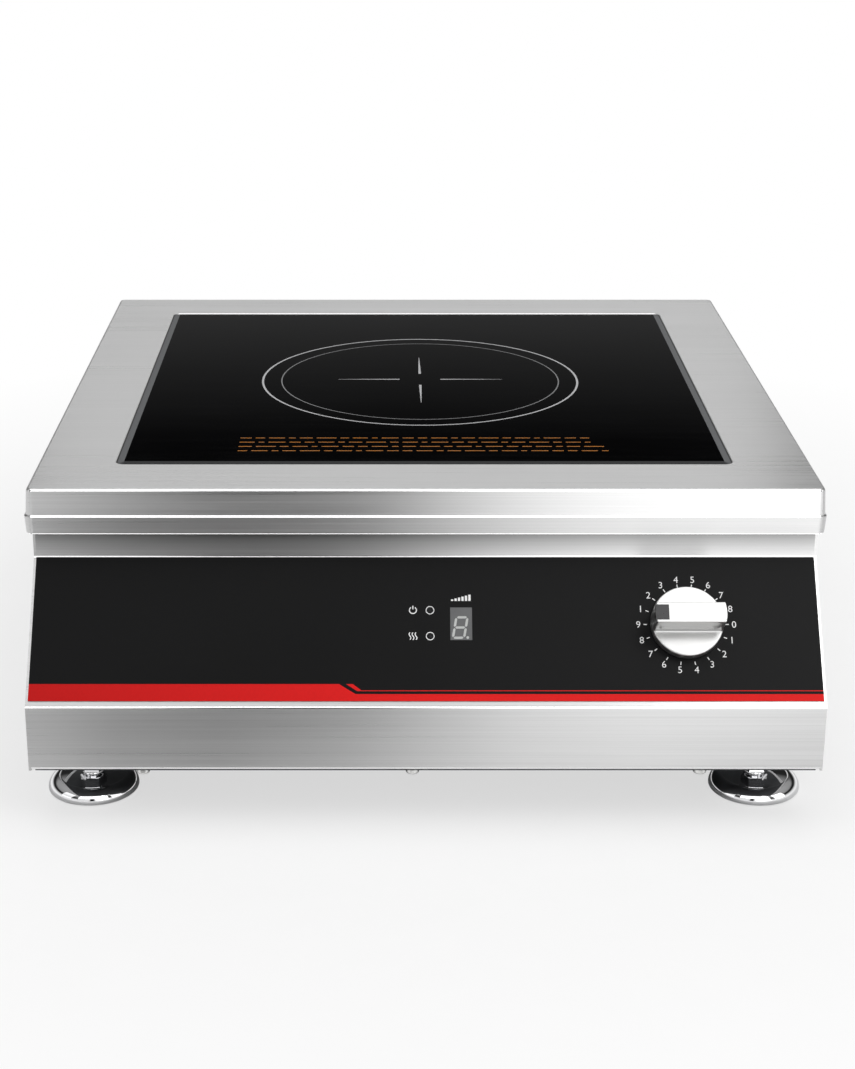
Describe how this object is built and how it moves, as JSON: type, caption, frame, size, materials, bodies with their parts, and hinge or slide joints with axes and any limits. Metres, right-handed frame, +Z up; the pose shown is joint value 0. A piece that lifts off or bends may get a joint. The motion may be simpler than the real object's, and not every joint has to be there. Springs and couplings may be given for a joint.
{
  "type": "hot plate burner",
  "caption": "Countertop induction hot plate: black glass plate in a stainless casing, sloped front control panel with a rotary power knob, display and lamps, on levelling feet.",
  "frame": {"origin": "middle of the footprint, on the table the feet stand on", "axes": "+Z up, +Y to the back (the control panel faces -Y), +X to the right seen from the front"},
  "size_m": [0.4034, 0.4472, 0.1653],
  "materials": {
    "stainless": "brushed stainless sheet",
    "base_zinc": "dull galvanised sheet",
    "black_glass": "polished black glass-ceramic with a ground bevel",
    "silicone": "matt black silicone",
    "zinc_steel": "zinc plated steel",
    "screw_steel": "bright plated screws",
    "overlay_film": "satin black printed film",
    "window_film": "clear film",
    "foot_chrome": "bright chrome plate",
    "foot_rubber": "matt black rubber",
    "knob_metal": "satin plated",
    "knob_black": "black moulded inlay",
    "switch_body": "moulded body",
    "shaft_steel": "turned steel",
    "display_face": "grey display face",
    "led_lens": "frosted lamp lens",
    "mica": "ceramic fibre sheet",
    "coil_wire": "enamelled copper litz wire",
    "carrier_plastic": "heat resistant moulding",
    "ferrite": "dark ferrite",
    "sensor_rubber": "white silicone",
    "spacer_metal": "turned spacers",
    "fan_black": "black moulding",
    "board_green": "green circuit board",
    "heatsink_metal": "extruded aluminium",
    "chip_black": "moulded package",
    "capacitor_case": "moulded case",
    "choke_core": "coated core",
    "terminal_white": "moulded terminals",
    "lead_insulation": "insulated wire",
    "ribbon_grey": "flat ribbon cable",
    "bushing_black": "black nylon"
  },
  "bodies": {
    "casing": {"deck": "stainless", "front_panel": "stainless", "left_side_panel": "stainless", "right_side_panel": "stainless", "rear_panel": "stainless", "base_plate": "base_zinc", "glass_top": "black_glass", "glass_seal": "silicone", "glass_ledge": "zinc_steel", "coil_rails": "zinc_steel", "deck_nuts": "zinc_steel", "foot_weld_nuts": "zinc_steel", "foot_lock_nuts": "zinc_steel", "switch_nut": "zinc_steel", "coil_screws": "zinc_steel", "fan_screws": "zinc_steel", "case_screws": "screw_steel", "control_overlay": "overlay_film", "display_window": "window_film", "rotary_switch": "switch_body", "digit_display": "display_face", "indicator_leds": "led_lens", "insulation_sheet": "mica", "induction_coil": "coil_wire", "coil_leads": "coil_wire", "coil_carrier": "carrier_plastic", "board_standoffs": "carrier_plastic", "ferrite_bars": "ferrite", "temperature_sensor": "sensor_rubber", "coil_spacers": "spacer_metal", "control_standoffs": "spacer_metal", "fan_frame": "fan_black", "power_board": "board_green", "control_board": "board_green", "heatsink": "heatsink_metal", "igbt_pair": "chip_black", "bridge_rectifier": "chip_black", "film_capacitors": "capacitor_case", "filter_choke": "choke_core", "terminal_block": "terminal_white", "mains_leads": "lead_insulation", "control_ribbon": "ribbon_grey", "cord_bushing": "bushing_black"},
    "knob": {"knob": "knob_metal", "knob_inlay": "knob_black", "switch_shaft": "shaft_steel"},
    "fan_rotor": {"fan_rotor": "fan_black"},
    "foot_front_left": {"foot_dish_front_left": "foot_chrome", "foot_sole_front_left": "foot_rubber", "foot_stem_front_left": "foot_chrome"},
    "foot_front_right": {"foot_dish_front_right": "foot_chrome", "foot_sole_front_right": "foot_rubber", "foot_stem_front_right": "foot_chrome"},
    "foot_rear_left": {"foot_dish_rear_left": "foot_chrome", "foot_sole_rear_left": "foot_rubber", "foot_stem_rear_left": "foot_chrome"},
    "foot_rear_right": {"foot_dish_rear_right": "foot_chrome", "foot_sole_rear_right": "foot_rubber", "foot_stem_rear_right": "foot_chrome"}
  },
  "joints": [
    {"name": "knob_turn", "type": "hinge", "parent": "casing", "child": "knob", "pos_m": [0.1307, -0.1959, 0.09922], "axis": [0, 0.766, -0.6428], "range_deg": [-180, 160]},
    {"name": "fan_spin", "type": "hinge", "parent": "casing", "child": "fan_rotor", "pos_m": [0.0993, 0.06991, 0.0318], "axis": [0, 0, 1], "continuous": true},
    {"name": "foot_front_left_lower", "type": "slide", "parent": "casing", "child": "foot_front_left", "axis": [0, 0, -1], "range_m": [-0.008, 0.012]},
    {"name": "foot_front_right_lower", "type": "slide", "parent": "casing", "child": "foot_front_right", "axis": [0, 0, -1], "range_m": [-0.008, 0.012]},
    {"name": "foot_rear_left_lower", "type": "slide", "parent": "casing", "child": "foot_rear_left", "axis": [0, 0, -1], "range_m": [-0.008, 0.012]},
    {"name": "foot_rear_right_lower", "type": "slide", "parent": "casing", "child": "foot_rear_right", "axis": [0, 0, -1], "range_m": [-0.008, 0.012]}
  ]
}
